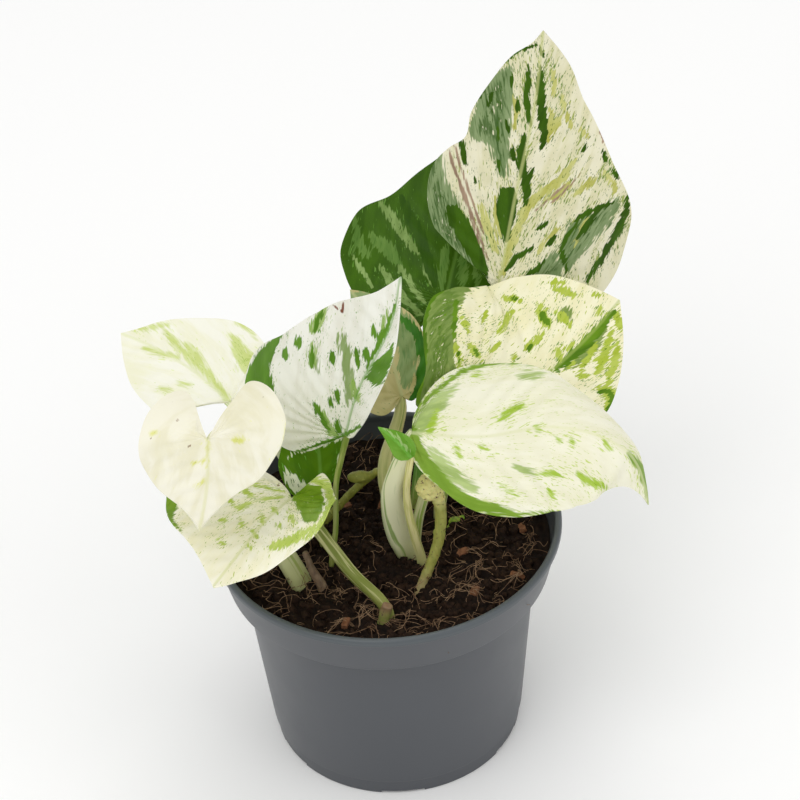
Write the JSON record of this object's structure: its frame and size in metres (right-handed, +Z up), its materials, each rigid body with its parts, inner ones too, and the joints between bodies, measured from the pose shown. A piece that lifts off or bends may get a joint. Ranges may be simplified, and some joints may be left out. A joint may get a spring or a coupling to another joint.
{
  "type": "potted pothos",
  "caption": "Young marbled pothos with white, cream and green leaves on long stalks, in soil in a plain dark nursery pot with a deep collar.",
  "frame": {"origin": "middle of the pot's base, on the surface that it stands on", "axes": "+Z up along the pot's axis, -Y towards the viewer of the picture, +X to the viewer's right"},
  "size_m": [0.1788, 0.1822, 0.2245],
  "materials": {
    "pot_plastic": "moulded dark grey polypropylene, satin, slightly shinier at the lip",
    "peat": "damp dark brown peat with bark chips and pale root fibres, matt",
    "leaf_marbled": "cream and white leaf with green streaks and flecks, waxy sheen",
    "leaf_green": "dark green leaf with pale green streaks, waxy sheen",
    "stem_wood": "yellow-green to brown stem, matt, with brown scars"
  },
  "bodies": {
    "root": {"pot": "pot_plastic", "soil": "peat", "leaf_top": "leaf_marbled", "leaf_back": "leaf_green", "leaf_right": "leaf_marbled", "leaf_front": "leaf_marbled", "leaf_middle": "leaf_marbled", "leaf_hidden": "leaf_green", "leaf_heart": "leaf_marbled", "leaf_left": "leaf_marbled", "leaf_low": "leaf_marbled", "leaf_shaded": "leaf_green", "leaf_young": "leaf_green", "crown_stem": "stem_wood", "dry_sheath": "stem_wood", "cut_stub": "stem_wood", "side_sprout": "stem_wood"}
  },
  "joints": []
}
